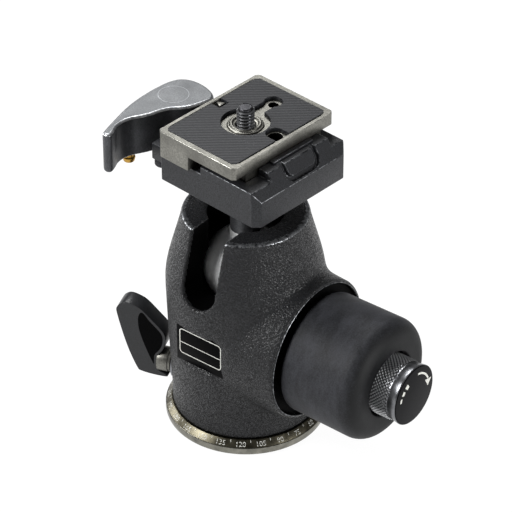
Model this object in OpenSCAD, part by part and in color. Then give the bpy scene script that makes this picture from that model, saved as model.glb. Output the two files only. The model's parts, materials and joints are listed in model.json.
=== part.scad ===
// Tripod ball head with a side locking knob, pan lock lever and lever clamp.
// The origin is the middle of the base, +Z is up and +X is the locking knob's
// shaft. The ball slot opens towards -Y and the clamp lever is on the -X side.

/* [Base] */
// Radius of the scale ring at the bottom
base_r = 29.7; // [28:0.1:32]
// Height of the ring's upright side
base_side_h = 3; // [2:0.1:4]
// Height of the ring's upper edge
base_h = 5.2; // [4.5:0.1:5.2]
// Radius of the thread in the base
tripod_thread_r = 4.2; // [4:0.05:4.8]
// Radius of the spigot the housing turns on
spigot_r = 12; // [10:0.5:13]

/* [Housing] */
// Radius of the housing at its foot
foot_r = 27; // [26:0.1:28]
// Greatest radius of the housing
waist_r = 28.9; // [28:0.1:30]
// Radius of the flat top
top_r = 22.4; // [21:0.1:24]
// Height of the flat top
housing_top = 88; // [86:0.5:90]
// Radius of the top opening
mouth_r = 13.8; // [13.5:0.1:14.2]
// Width of the slot for the ball's neck
slot_w = 14.3; // [14:0.1:15]
// Height of the centre of the slot's round end
slot_z = 67; // [66:0.5:69]
// Radius of the boss that carries the locking knob
boss_r = 26.8; // [25:0.1:28]
// How far the boss reaches from the middle
boss_x = 32.5; // [31:0.1:33]
// Depth of the recess in the boss's end
boss_recess = 2.5; // [1:0.1:3]

/* [Ball] */
// Height of the ball's centre
ball_z = 64; // [62:0.5:66]
// Radius of the ball
ball_r = 15.5; // [15:0.1:15.5]
// Radius of the ball's neck
neck_r = 5.6; // [5:0.1:5.8]
// Radius of the collar under the clamp
collar_r = 9.5; // [8:0.1:10]

/* [Locking knob] */
// Height of the locking knob's shaft
knob_z = 40.9; // [40:0.1:42]
// Radius of the knob at its inner end
knob_r = 24; // [22:0.1:25]
// Radius of the knob near its outer end
knob_tip_r = 22.6; // [21:0.1:24]
// Where the knob's outer face is
knob_end_x = 65; // [62:0.5:67]
// Radius of the friction knob
friction_r = 11.5; // [10:0.1:12]
// Where the friction knob's outer face is
friction_end_x = 75.2; // [73:0.1:77]

/* [Pan lock] */
// Direction of the pan lock's shaft around the housing
pan_dir = 200; // [195:1:205]
// Height of the pan lock's shaft
pan_z = 14; // [13:0.1:15]
// Thickness of the wing
wing_t = 7; // [6:0.1:8]

/* [Clamp] */
// Height of the clamp's underside
clamp_z = 102.7; // [102:0.1:104]
// Turn of the clamp on the stem
clamp_turn = -5; // [-10:1:10]
// Size of the clamp body along X
clamp_w = 48; // [46:0.5:50]
// Size of the clamp body along Y
clamp_l = 46.5; // [44:0.5:48]
// Size of the clamp's corner chamfers
clamp_chamfer = 2.4; // [2:0.1:3]
// Height of the clamp's side wall
clamp_wall_h = 11; // [10:0.1:12]
// Height where the rail's slope starts
slope_h = 9.9; // [9:0.1:11]
// Height of the clamp's low corners
corner_h = 13.8; // [13:0.1:15]
// Height of the clamp's fixed rail
rail_h = 16.5; // [15:0.1:17]

/* [Plate] */
// Height of the plate's top
plate_top = 124.5; // [124:0.1:126]
// Size of the plate along X
plate_w = 36.4; // [35:0.1:38]
// Size of the plate along Y
plate_l = 50.5; // [49:0.1:52]
// Radius of the camera screw
camera_r = 3.175; // [3.1:0.005:3.2]
// Height of the camera screw's tip
camera_top = 131.5; // [130:0.5:133]

/* [Hidden] */
$fn = 96;
eps = 0.01;
gap = 0.3;
running = 0.05;
wall_top = clamp_z + clamp_wall_h;
rail_top = clamp_z + rail_h;
clamp_mid = [2.6, 0.7];
clamp_lo = [clamp_mid[0] - clamp_w / 2, clamp_mid[1] - clamp_l / 2];
clamp_hi = [clamp_mid[0] + clamp_w / 2, clamp_mid[1] + clamp_l / 2];
tray_z = clamp_z + 5.5;
tray_lo = [-16, -18.6];
tray_hi = [17.6, 20];
plate_mid = [-0.4, 0.7];
plate_lo = [plate_mid[0] - plate_w / 2, plate_mid[1] - plate_l / 2];
plate_hi = [plate_mid[0] + plate_w / 2, plate_mid[1] + plate_l / 2];
slope_run = 4.4;
rail_y = [-12.3, 18];
step_x = -4.2;
skirt_z = rail_top + 0.4;
left_skirt_z = wall_top + gap;
pad_depth = 1.3;
rim_band = [1.6, 3.2];
tab_y = [-6, 11.2];
tab_r = 4;
tab_groove = 1.9;
hinge_z = clamp_z + 5.4;
hinge_t = 3.4;
pin_hole = [-1.7, 16];
stop_at = [-28, -12.6];
lever_pivot = [-33, 5.5];
lever_lo = clamp_z - 1.2;
lever_hi = clamp_z + 14.8;
washer_r = 14.5;
washer_z = 20;
spindle_r = 5;
inner_spindle_r = 2.4;
piston_r = 8;
piston_travel = 1.2;
cup_r = ball_r + gap;
cavity_r = 17.6;
collar_z = 97.6;
housing_z = base_h + gap;
label_y = -26.2;

// Solid between two heights with a straight side
module slab(lo, hi, z0, z1) {
  translate([lo[0], lo[1], z0])
    cube([hi[0] - lo[0], hi[1] - lo[1], z1 - z0]);
}

// Block with its upright corners cut off at 45 degrees
module chamfered_block(lo, hi, z0, z1, c) {
  translate([0, 0, z0])
    linear_extrude(z1 - z0)
      polygon([[lo[0] + c, lo[1]], [hi[0] - c, lo[1]], [hi[0], lo[1] + c], [hi[0], hi[1] - c],
               [hi[0] - c, hi[1]], [lo[0] + c, hi[1]], [lo[0], hi[1] - c], [lo[0], lo[1] + c]]);
}

// Cylinder lying along +X from x0 to x1 at a height
module shaft_x(r, x0, x1, z, r2 = -1) {
  translate([x0, 0, z]) rotate([0, 90, 0]) cylinder(r1 = r, r2 = r2 < 0 ? r : r2, h = x1 - x0);
}

// Everything on the stem turns with the clamp
module on_stem() {
  rotate([0, 0, clamp_turn]) children();
}

// Everything on the pan lock's shaft, drawn with the shaft along +X
module on_pan_shaft() {
  rotate([0, 0, pan_dir]) children();
}

// ---- base ----

module base_plate() {
  color("#2a2a2c") difference() {
    union() {
      cylinder(r = base_r - 4, h = base_h);
      cylinder(r = spigot_r, h = washer_z);
    }
    translate([0, 0, -eps]) cylinder(r = 7, h = 9);
    translate([0, 0, 9 - 2 * eps]) cylinder(r = tripod_thread_r + 0.6, h = 3);
    for (a = [60, 180, 300])
      rotate([0, 0, a]) translate([8.6, 0, washer_z - 5]) cylinder(r = 1, h = 6, $fn = 24);
  }
}

module tripod_bush() {
  color("#b49a5a") difference() {
    cylinder(r = 7, h = 9 - eps);
    translate([0, 0, -eps]) cylinder(r = tripod_thread_r, h = 10);
  }
}

module scale_ring() {
  color("#6c6a64") rotate_extrude()
    polygon([[base_r - 4, 0.2], [base_r - 0.5, 0.2], [base_r, 0.6], [base_r, base_side_h - 0.2],
             [base_r - 0.3, base_side_h], [foot_r + 0.3, base_h], [base_r - 4, base_h]]);
}

module pan_washer() {
  color("#b8b8ba") translate([0, 0, washer_z]) difference() {
    cylinder(r = washer_r, h = 1.8);
    translate([0, 0, -eps]) cylinder(r = tripod_thread_r, h = 3);
    for (a = [60, 180, 300])
      rotate([0, 0, a]) translate([8.6, 0, -1]) cylinder(r = 1.2, h = 4, $fn = 24);
  }
}

module pan_washer_screws() {
  color("#8a8c90") for (a = [60, 180, 300])
    rotate([0, 0, a]) translate([8.6, 0, washer_z - 4]) {
      cylinder(r = 1, h = 6, $fn = 24);
      translate([0, 0, 5.8]) cylinder(r = 1.9, h = 1, $fn = 24);
    }
}

// ---- housing ----

// Outer form turned around the upright axis
module housing_turned() {
  rotate_extrude()
    polygon([[0, housing_z], [foot_r - 0.3, housing_z], [foot_r, housing_z + 0.3], [foot_r, 9],
             [foot_r + 0.1, 13], [foot_r + 0.6, 24], [foot_r + 1.2, 37], [waist_r - 0.25, 49],
             [waist_r, 56], [waist_r, 61], [waist_r - 0.4, 64.5], [waist_r - 1.1, 68],
             [waist_r - 2.1, 72], [waist_r - 3.2, 76], [waist_r - 4.3, 80], [waist_r - 5.4, 84],
             [top_r + 0.6, 86.6], [top_r + 0.35, 87.5], [top_r - 0.3, housing_top],
             [0, housing_top]]);
}

module housing() {
  color("#3a3b3e") difference() {
    union() {
      housing_turned();
      shaft_x(boss_r + 1.6, 0, boss_x - 0.6, knob_z, boss_r);
      shaft_x(boss_r, boss_x - 0.6, boss_x, knob_z, boss_r - 0.6);
    }
    // ball chamber, mouth and slot
    translate([0, 0, ball_z]) sphere(r = cavity_r);
    translate([0, 0, ball_z + 10]) cylinder(r = mouth_r, h = 30);
    translate([0, 0, slot_z]) rotate([90, 0, 0]) cylinder(r = slot_w / 2, h = 40);
    translate([-slot_w / 2, -40, slot_z]) cube([slot_w, 40, 40]);
    // room for the spigot and its washer
    translate([0, 0, housing_z - eps]) cylinder(r = spigot_r + running, h = 20);
    translate([0, 0, washer_z - 0.5]) cylinder(r = washer_r + 0.6, h = 5);
    // knob side: recess, bush and piston bore
    shaft_x(boss_r - 1.5, boss_x - boss_recess, boss_x + 1, knob_z);
    shaft_x(10, 24, boss_x, knob_z);
    shaft_x(piston_r + running, 13, 25, knob_z);
    // pan lock bush
    on_pan_shaft() shaft_x(6, 18, 40, pan_z);
    on_pan_shaft() shaft_x(4.4, 10, 20, pan_z);
    // flat for the label
    translate([-10.8, label_y - 20, 32.8]) cube([21.6, 20, 15.7]);
  }
}

module seat_ring() {
  color("#d8d6cc") difference() {
    translate([0, 0, ball_z]) sphere(r = cavity_r - 0.02);
    translate([0, 0, ball_z]) sphere(r = ball_r + gap);
    translate([0, 0, ball_z - 30]) cube([60, 60, 67], center = true);
    translate([0, 0, ball_z + 9.5]) cylinder(r = 30, h = 30);
    translate([-30, -46, 40]) cube([60, 40, 60]);
  }
}

module label_plate() {
  color("#0c0c0d") translate([-10.5, label_y - 0.45, 33.1]) cube([21, 0.45, 15.1]);
}

module knob_bush() {
  color("#b49a5a") difference() {
    shaft_x(10, 24, boss_x - boss_recess - 0.5, knob_z);
    shaft_x(spindle_r + running, 20, 40, knob_z);
  }
}

module boss_ring() {
  color("#1b1c1e") difference() {
    shaft_x(boss_r - 1.5, boss_x - boss_recess, boss_x - boss_recess + 0.8, knob_z);
    shaft_x(11, 20, 40, knob_z);
  }
}

module pan_bush() {
  color("#8a8c90") on_pan_shaft() difference() {
    shaft_x(6, 18 + eps, 27.6, pan_z);
    shaft_x(3.5 + running, 10, 40, pan_z);
  }
}

// ---- ball ----

module ball_cup() {
  color("#d8d6cc") difference() {
    translate([0, 0, ball_z]) sphere(r = cavity_r - gap);
    translate([0, 0, ball_z]) sphere(r = cup_r);
    translate([0, 0, ball_z - 6]) cylinder(r = 30, h = 30);
  }
}

module ball() {
  color("#9a9c9e") union() {
    translate([0, 0, ball_z]) sphere(r = ball_r);
    translate([0, 0, ball_z]) cylinder(r = neck_r, h = clamp_z - ball_z);
    translate([0, 0, ball_z + ball_r - 1.6]) cylinder(r1 = neck_r + 1, r2 = neck_r, h = 2.6);
  }
}

module stem_collar() {
  color("#2a2a2c") difference() {
    union() {
      translate([0, 0, collar_z]) cylinder(r1 = collar_r - 1.5, r2 = collar_r, h = 1.5);
      translate([0, 0, collar_z + 1.5 - eps]) cylinder(r = collar_r, h = clamp_z - collar_z - 1.5);
    }
    translate([0, 0, 80]) cylinder(r = neck_r, h = 30);
  }
}

// ---- ball lock ----

module lock_piston() {
  color("#b8b8ba") difference() {
    shaft_x(piston_r, 14.5, 22.5, knob_z);
    shaft_x(piston_r + 1, 17, 18.6, knob_z);
  }
  color("#b8b8ba") shaft_x(piston_r - 1, 17 - eps, 18.6 + eps, knob_z);
}

module piston_seal() {
  color("#1b1c1e") difference() {
    shaft_x(piston_r - 0.05, 17.1, 18.5, knob_z);
    shaft_x(piston_r - 1, 16, 20, knob_z);
  }
}

// ---- locking knob ----

module knob_core() {
  color("#2a2a2c") difference() {
    union() {
      shaft_x(knob_r - 1.6, 33.2, knob_end_x - 6, knob_z, knob_tip_r - 2);
      shaft_x(15, knob_end_x - 7, knob_end_x - 3, knob_z);
    }
    shaft_x(spindle_r, 30, 60, knob_z);
    shaft_x(friction_r + 0.8, knob_end_x - 9, knob_end_x + 2, knob_z);
  }
}

module knob_rubber() {
  color("#3a3b3f") translate([0, 0, knob_z]) rotate([0, 90, 0]) rotate_extrude()
    polygon([[knob_r - 1.6, 33.2], [knob_r - 1.3, 33.2], [knob_r - 0.5, 34], [knob_r, 35.5],
             [knob_tip_r, knob_end_x - 7], [knob_tip_r - 0.5, knob_end_x - 4.4],
             [knob_tip_r - 1.7, knob_end_x - 2.3], [knob_tip_r - 3.5, knob_end_x - 0.8],
             [knob_tip_r - 5.6, knob_end_x], [friction_r + 2, knob_end_x],
             [friction_r + 1.6, knob_end_x - 0.4], [friction_r + 1.6, knob_end_x - 3],
             [15, knob_end_x - 3], [15, knob_end_x - 6], [knob_tip_r - 2, knob_end_x - 6]]);
}

module lock_spindle() {
  color("#b8b8ba") difference() {
    shaft_x(spindle_r, 24.2, knob_end_x - 9, knob_z);
    shaft_x(inner_spindle_r + running, 20, 70, knob_z);
  }
}

// ---- friction knob ----

module friction_knob() {
  color("#8f9092") difference() {
    union() {
      shaft_x(friction_r, knob_end_x - 8, friction_end_x - 3, knob_z);
      shaft_x(friction_r, friction_end_x - 3, friction_end_x - 0.3, knob_z, friction_r - 0.7);
    }
    shaft_x(inner_spindle_r, 50, 70, knob_z);
    shaft_x(friction_r - 1.1, friction_end_x - 1.2, friction_end_x + 1, knob_z);
  }
}

module friction_cap() {
  color("#1b1c1e") union() {
    shaft_x(friction_r - 1.1, friction_end_x - 1.2, friction_end_x - 0.3, knob_z);
    shaft_x(friction_r - 1.1, friction_end_x - 0.3, friction_end_x, knob_z, friction_r - 1.5);
  }
}

module friction_spindle() {
  color("#b8b8ba") shaft_x(inner_spindle_r, 26, 70, knob_z);
}

// ---- pan lock ----

module pan_wing() {
  color("#1b1c1e") on_pan_shaft() difference() {
    translate([0, wing_t / 2, 0]) rotate([90, 0, 0]) linear_extrude(wing_t)
      polygon([[29.4, 8.2], [34, 8.1], [40, 8.6], [41.5, 9.6], [45.5, 20], [49, 34], [48.6, 36.4],
               [46.8, 38.6], [44.5, 39.2], [41, 38.2], [38.6, 36.6], [35.4, 33.4], [31.6, 29.6],
               [30.4, 27.6], [30, 25], [30.4, 22], [31.4, 19.6], [33.6, 17.4], [33.6, 9.6],
               [29.4, 9.2]]);
    shaft_x(3.5, 20, 38, pan_z);
    shaft_x(4.75, 28, 33.65, pan_z);
  }
}

module pan_spindle() {
  color("#8a8c90") on_pan_shaft() shaft_x(3.5, spigot_r + gap, 38, pan_z);
}

module pan_collar() {
  color("#8a8c90") on_pan_shaft() difference() {
    union() {
      shaft_x(4.4, 28.4, 29.4, pan_z);
      shaft_x(4.7, 29.4 - eps, 33.6, pan_z);
    }
    shaft_x(3.5, 20, 38, pan_z);
  }
}

// ---- clamp ----

// Stands things on the rail's slope: X runs up the slope and Z out of it
module on_slope() {
  lean = atan2(rail_h - slope_h, slope_run);
  translate([clamp_hi[0], 0, clamp_z + slope_h]) rotate([0, lean - 180, 0]) mirror([0, 0, 1]) children();
}

// Tongue outline with two rounded corners, drawn inwards from its full size
module tab(inset, z0, z1) {
  r = tab_r - inset;
  for (y = [tab_y[0] + tab_r, tab_y[1] - tab_r])
    translate([0.8 + tab_r, y, z0]) cylinder(r = r, h = z1 - z0, $fn = 48);
  translate([0.8 + inset, tab_y[0] + tab_r, z0])
    cube([16, tab_y[1] - tab_y[0] - 2 * tab_r, z1 - z0]);
  translate([0.8 + tab_r, tab_y[0] + inset, z0])
    cube([16, tab_y[1] - tab_y[0] - 2 * inset, z1 - z0]);
}

// Rail with a sloping outer side, lower at both ends
module rail() {
  intersection() {
    chamfered_block(clamp_lo, clamp_hi, clamp_z, rail_top, clamp_chamfer);
    translate([0, clamp_hi[1], 0]) rotate([90, 0, 0]) linear_extrude(clamp_l)
      polygon([[-0.2, wall_top - 1], [clamp_hi[0], wall_top - 1.5], [clamp_hi[0], clamp_z + slope_h],
               [clamp_hi[0] - slope_run, rail_top], [-0.2, rail_top]]);
  }
}

module clamp_body() {
  color("#4b4c50") on_stem() difference() {
    union() {
      chamfered_block(clamp_lo, clamp_hi, clamp_z, clamp_z + slope_h, clamp_chamfer);
      intersection() {
        chamfered_block(clamp_lo, clamp_hi, clamp_z, wall_top, clamp_chamfer);
        translate([clamp_lo[0] - 1, -60, clamp_z]) cube([30, 120, 20]);
      }
      rail();
      // ear that carries the lever's pivot
      hull() {
        translate([lever_pivot[0], lever_pivot[1], hinge_z]) cylinder(r = 4.4, h = hinge_t, $fn = 48);
        translate([clamp_lo[0], 0, hinge_z]) cube([2, 13, hinge_t]);
      }
    // lug that holds the lever's stop
    slab([stop_at[0] - 2.6, stop_at[1] - 3.2], [clamp_lo[0] + 1, stop_at[1] + 3.2], clamp_z + 0.4, clamp_z + 7);
    }
    // low corners at both ends of the rail
    translate([-0.2, -60, clamp_z + corner_h]) cube([40, 60 + rail_y[0], 20]);
    translate([-0.2, rail_y[1], clamp_z + corner_h]) cube([40, 60, 20]);
    // grooved tongue in the slope
    intersection() {
      on_slope() difference() {
        tab(0, -1.6, 4);
        tab(tab_groove, -2, 5);
      }
      slab([10, -20], [40, 20], clamp_z, rail_top + 0.1);
    }
    // tray for the plate's foot
    slab(tray_lo, tray_hi, tray_z, rail_top + 5);
    // lever side of the tray is open
    translate([clamp_lo[0] - 1, -9, tray_z + 2]) cube([12, 11, 20]);
    // stem and fixing screw
    translate([0, 0, clamp_z - eps]) cylinder(r = 3, h = 10);
    translate([0, 0, tray_z - 2.4]) cylinder(r = 6.2, h = 10);
    // lever pivot
    translate([lever_pivot[0], lever_pivot[1], clamp_z - 1]) cylinder(r = 1.5, h = 30, $fn = 32);
  }
}

module clamp_screw() {
  color("#8a8c90") difference() {
    union() {
      translate([0, 0, clamp_z + eps]) cylinder(r = 3, h = 4);
      translate([0, 0, tray_z - 2.4]) cylinder(r = 5.6, h = 2.2);
    }
    translate([0, 0, tray_z - 1.6]) cylinder(r = 2.9, h = 3, $fn = 6);
  }
}

module lever_pin() {
  color("#b8b8ba") on_stem() translate([lever_pivot[0], lever_pivot[1], lever_lo + 0.4])
    cylinder(r = 1.5, h = 11.6, $fn = 32);
}

module rail_bar() {
  color("#4b4c50") on_stem() slab([plate_hi[0] + gap, -7.2], [plate_hi[0] + 2.2, 12.8], rail_top, rail_top + 0.9);
}

// ---- clamp lever ----

module clamp_lever() {
  color("#8a8c90") on_stem() difference() {
    translate([0, 0, lever_lo]) linear_extrude(lever_hi - lever_lo)
      polygon([[-26.5, 10.6], [-28.5, 13.4], [-32.5, 15], [-37.4, 15.5], [-41.6, 14.6], [-44.6, 12.2],
               [-46.1, 8.4], [-46.6, 3], [-46.5, -3], [-45.9, -9], [-44.7, -15], [-42.6, -22],
               [-40.4, -28.6], [-39, -31.4], [-37.2, -32], [-35.6, -30.6], [-36.6, -28.4],
               [-38.2, -25], [-38.8, -21.5], [-38.2, -18], [-36.7, -15], [-35.2, -11.6],
               [-34.2, -7.6], [-32.8, -4.2], [-30.4, -1.4], [-28.5, 1.6], [-27.3, 5.2]]);
    // slot for the clamp's ear
    translate([lever_pivot[0], lever_pivot[1], hinge_z - gap]) cylinder(r = 13.4, h = hinge_t + 2 * gap);
    translate([lever_pivot[0], lever_pivot[1], lever_lo + 0.4 - eps])
      cylinder(r = 2.6, h = 11.8, $fn = 32);
    // hollow for the safety pin's spring
    translate([-41, -17, lever_lo - 1]) cylinder(r = 1.9, h = 6, $fn = 32);
    // seat for the badge on the lever's top
    translate([-39.6, -2, lever_hi - 0.5]) cylinder(r = 2.9, h = 2, $fn = 48);
  }
}

module lever_stop() {
  color("#1b1c1e") on_stem() difference() {
    translate([stop_at[0], stop_at[1], clamp_z - 2.2]) cylinder(r = 3.2, h = 2.6);
    translate([stop_at[0], stop_at[1], clamp_z - 3]) cylinder(r = 1.2, h = 1.6, $fn = 24);
  }
}

module lever_bush() {
  color("#b49a5a") on_stem() translate([lever_pivot[0], lever_pivot[1], 0])
    for (z = [[lever_lo + 0.4, hinge_z - gap], [hinge_z + hinge_t + gap, lever_lo + 12]])
      difference() {
        translate([0, 0, z[0]]) cylinder(r = 2.6, h = z[1] - z[0], $fn = 32);
        translate([0, 0, lever_lo - 1]) cylinder(r = 1.5 + running, h = 20, $fn = 32);
      }
}

module lever_badge() {
  color("#77787a") on_stem() translate([-39.6, -2, lever_hi - 0.5]) cylinder(r = 2.9, h = 0.45, $fn = 48);
}

module safety_pin() {
  color("#c8a24a") on_stem() translate([-41, -17, lever_lo]) {
    translate([0, 0, -1.7]) cylinder(r = 1.5, h = 4, $fn = 32);
    translate([0, 0, -3.4]) cylinder(r1 = 2, r2 = 2.4, h = 1.8, $fn = 32);
  }
}

// ---- plate ----

module plate_outline(inset, z0, z1) {
  chamfered_block(plate_lo + inset, plate_hi - inset, z0, z1, 1.2);
}

module quick_plate() {
  color("#a7a69e") on_stem() difference() {
    union() {
      plate_outline([0, 0], skirt_z, plate_top);
      // deeper skirts on the lever side, over the clamp's low wall
      for (y = [[plate_lo[1], clamp_lo[1] + 2.4], [clamp_hi[1] - 2.4, plate_hi[1]]])
        intersection() {
          plate_outline([0, 0], left_skirt_z, skirt_z + 1);
          slab([plate_lo[0], y[0]], [step_x, y[1]], left_skirt_z, skirt_z + 1);
        }
      // foot that sits in the clamp's tray
      slab(tray_lo + [gap, gap], tray_hi - [gap, gap], tray_z + gap, skirt_z + 1);
    }
    plate_outline(rim_band, plate_top - pad_depth, plate_top + 1);
    // hole for the camera screw and room for its head and ring
    translate([0, 0, tray_z - 1]) cylinder(r = camera_r + 0.4, h = 30);
    translate([0, 0, tray_z - 1]) cylinder(r = 11, h = 8.5);
    translate([0, 0, plate_top - 4]) cylinder(r = 6.4, h = 6);
    // hole for a locating pin and the hollow beside the rim
    translate([pin_hole[0], pin_hole[1], tray_z]) cylinder(r = 1.7, h = 30);
    translate([12.6, 1.6, plate_top - 5]) cylinder(r = 2.6, h = 8);
  }
}

module plate_pad() {
  color("#3c3d40") on_stem() difference() {
    plate_outline(rim_band + [gap, gap], plate_top - pad_depth, plate_top + 0.2);
    // window round the screw, and the slot that leads from it to the pin hole
    translate([0, 0, plate_top - 5]) cylinder(r = 8.7, h = 10);
    translate([pin_hole[0] - 2.4, 0, plate_top - 5]) cube([4.8, pin_hole[1], 10]);
    translate([pin_hole[0], pin_hole[1], plate_top - 5]) cylinder(r = 3.3, h = 10);
    // round bite at the rim
    translate([12.6, 1.6, plate_top - 5]) cylinder(r = 3.4, h = 10);
    translate([12.6, -1.8, plate_top - 5]) cube([10, 6.8, 10]);
    // square window with the arrow
    translate([-20, 0.2, plate_top - 5]) cube([7.4, 4.8, 10]);
  }
}

module plate_arrow() {
  color("#a7a69e") on_stem() translate([0, 0, plate_top - pad_depth]) linear_extrude(pad_depth)
    polygon([[-16.4, 2.6], [-13.6, 1.0], [-13.6, 4.2]]);
}

module screw_retainer() {
  color("#8a8c90") difference() {
    union() {
      translate([0, 0, plate_top - 4]) cylinder(r = 6.4, h = 3.2);
      translate([0, 0, plate_top - 1]) cylinder(r = 5.6, h = 0.8);
    }
    translate([0, 0, plate_top - 5]) cylinder(r = camera_r + 0.4, h = 8);
    translate([0, 0, plate_top - 0.9]) cylinder(r = 4.6, h = 8);
  }
}

module camera_screw() {
  color("#b8b8ba") difference() {
    union() {
      cylinder_at(2.6, tray_z + 6, plate_top + 0.3);
      cylinder_at(camera_r, plate_top + 0.2, camera_top - 0.6);
      translate([0, 0, camera_top - 0.6 - eps]) cylinder(r1 = camera_r, r2 = camera_r - 0.6, h = 0.6 + eps);
      cylinder_at(8.5, tray_z + 3.6, tray_z + 6.2);
    }
    translate([-10, -0.7, tray_z + 2.6]) cube([20, 1.4, 2.2]);
  }
}

// Upright cylinder between two heights
module cylinder_at(r, z0, z1) {
  translate([0, 0, z0]) cylinder(r = r, h = z1 - z0);
}

module screw_ring() {
  color("#8a8c90") translate([0, 0, tray_z + 2.2]) difference() {
    cylinder(r = 9.5, h = 1.4);
    translate([0, 0, -1]) cylinder(r = 7.5, h = 4);
  }
}

base_plate();
tripod_bush();
scale_ring();
pan_washer();
pan_washer_screws();
housing();
seat_ring();
label_plate();
knob_bush();
boss_ring();
pan_bush();
ball_cup();
ball();
stem_collar();
lock_piston();
piston_seal();
knob_core();
knob_rubber();
lock_spindle();
friction_knob();
friction_cap();
friction_spindle();
pan_wing();
pan_spindle();
pan_collar();
clamp_body();
clamp_screw();
lever_pin();
rail_bar();
lever_stop();
clamp_lever();
lever_bush();
lever_badge();
safety_pin();
quick_plate();
plate_pad();
plate_arrow();
screw_retainer();
camera_screw();
screw_ring();
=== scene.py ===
"""Looks of a tripod ball head: painted casting, rubber knob, knurled dial, clamp and camera plate."""
import json
import math

import bmesh
import bpy
from mathutils import Matrix, Vector


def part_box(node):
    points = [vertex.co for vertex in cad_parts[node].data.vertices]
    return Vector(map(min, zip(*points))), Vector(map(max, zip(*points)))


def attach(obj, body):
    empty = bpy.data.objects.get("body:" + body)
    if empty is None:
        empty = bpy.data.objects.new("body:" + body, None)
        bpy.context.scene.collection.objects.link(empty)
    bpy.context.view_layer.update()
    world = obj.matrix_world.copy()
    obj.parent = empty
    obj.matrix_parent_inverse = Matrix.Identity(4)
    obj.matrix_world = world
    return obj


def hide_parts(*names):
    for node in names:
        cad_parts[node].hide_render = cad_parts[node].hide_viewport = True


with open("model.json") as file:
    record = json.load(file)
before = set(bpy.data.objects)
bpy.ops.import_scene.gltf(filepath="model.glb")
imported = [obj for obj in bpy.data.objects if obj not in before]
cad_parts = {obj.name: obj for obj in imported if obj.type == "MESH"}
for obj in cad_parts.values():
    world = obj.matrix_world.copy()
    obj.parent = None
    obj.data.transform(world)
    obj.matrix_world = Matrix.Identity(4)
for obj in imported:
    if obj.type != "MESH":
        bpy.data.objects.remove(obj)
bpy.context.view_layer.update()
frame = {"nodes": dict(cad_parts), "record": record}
nodes = frame["nodes"]
body_of = {node: body for body, members in frame["record"]["behaviour"]["bodies"].items() for node in members}

MM = 0.001
CLAMP_TURN = math.radians(-5)   # the clamp stands turned a little on the stem
PAN_TURN = math.radians(200)    # the pan lock's place round the housing

# driving sizes in millimetres
KNOB_AXIS_Z = 40.9      # height of the locking knob's axis
BALL_TOP_Z = 80.5       # where the polished ball turns into its stem, which is duller and painted darker as shade
BOSS_R = 26.8           # outside of the knob's boss
WAIST_R = 28.9          # outside of the housing's body
PAD_OVER = 1.4          # how far the pad spreads over each end rim of the plate


# ---------------------------------------------------------------- materials

WAVE_PERIOD = math.pi / 10      # width of one band of the wave texture at a scale of 1


def hex_linear(text):
    """An sRGB hex colour as linear red, green, blue and alpha."""
    parts = [int(text[i:i + 2], 16) / 255 for i in (1, 3, 5)]
    return (*[c / 12.92 if c <= 0.04045 else ((c + 0.055) / 1.055) ** 2.4 for c in parts], 1)


def add_node(tree, kind, links=None, stops=(), **settings):
    """Adds a node. Settings name its attributes or, with a leading i_, its inputs. Links feed inputs.
    Stops are the places and the hex colours of a colour ramp."""
    node = tree.nodes.new(kind)
    for key, value in settings.items():
        if key.startswith("i_"):
            name = key[2:]
            socket = node.inputs[int(name)] if name.isdigit() else node.inputs[name.replace("_", " ")]
            socket.default_value = value
        else:
            setattr(node, key, value)
    for index, (place, colour) in enumerate(stops):
        stop = node.color_ramp.elements[index]
        stop.position, stop.color = place, hex_linear(colour)
    for name, source in (links or {}).items():
        tree.links.new(source, node.inputs[name])
    return node


def start_material(name, metallic, roughness, ior=None, level=0.5):
    """A material's tree with its surface shader and the object's own coordinates."""
    mat = bpy.data.materials.new(name)
    mat.use_nodes = True
    tree = mat.node_tree
    tree.nodes.clear()
    shader = add_node(tree, "ShaderNodeBsdfPrincipled", i_Metallic=metallic, i_Roughness=roughness,
                      i_Specular_IOR_Level=level)
    if ior:
        shader.inputs["IOR"].default_value = ior
    add_node(tree, "ShaderNodeOutputMaterial", {0: shader.outputs[0]})
    coords = add_node(tree, "ShaderNodeTexCoord").outputs["Object"]
    return mat, tree, shader, coords


def finish_material(tree, shader, tone, gloss=None, gloss_span=(0.0, 1.0), relief=None):
    """Feeds the shader. Tone is a pattern, a dark and a light colour and their places in it. Gloss is a
    pattern and the roughness at the ends of its span. Relief is a pattern, its depth in millimetres
    and its strength."""
    pattern, dark, light, low, high = tone
    ramp = add_node(tree, "ShaderNodeValToRGB", {"Fac": pattern}, stops=((low, dark), (high, light)))
    tree.links.new(ramp.outputs[0], shader.inputs["Base Color"])
    if gloss:
        pattern, at_low, at_high = gloss
        ranged = add_node(tree, "ShaderNodeMapRange", {"Value": pattern}, i_From_Min=gloss_span[0],
                          i_From_Max=gloss_span[1], i_To_Min=at_low, i_To_Max=at_high)
        tree.links.new(ranged.outputs[0], shader.inputs["Roughness"])
    if relief:
        pattern, depth_mm, strength = relief
        raised = add_node(tree, "ShaderNodeBump", {"Height": pattern}, i_Strength=strength,
                          i_Distance=depth_mm * MM)
        tree.links.new(raised.outputs[0], shader.inputs["Normal"])


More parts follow.
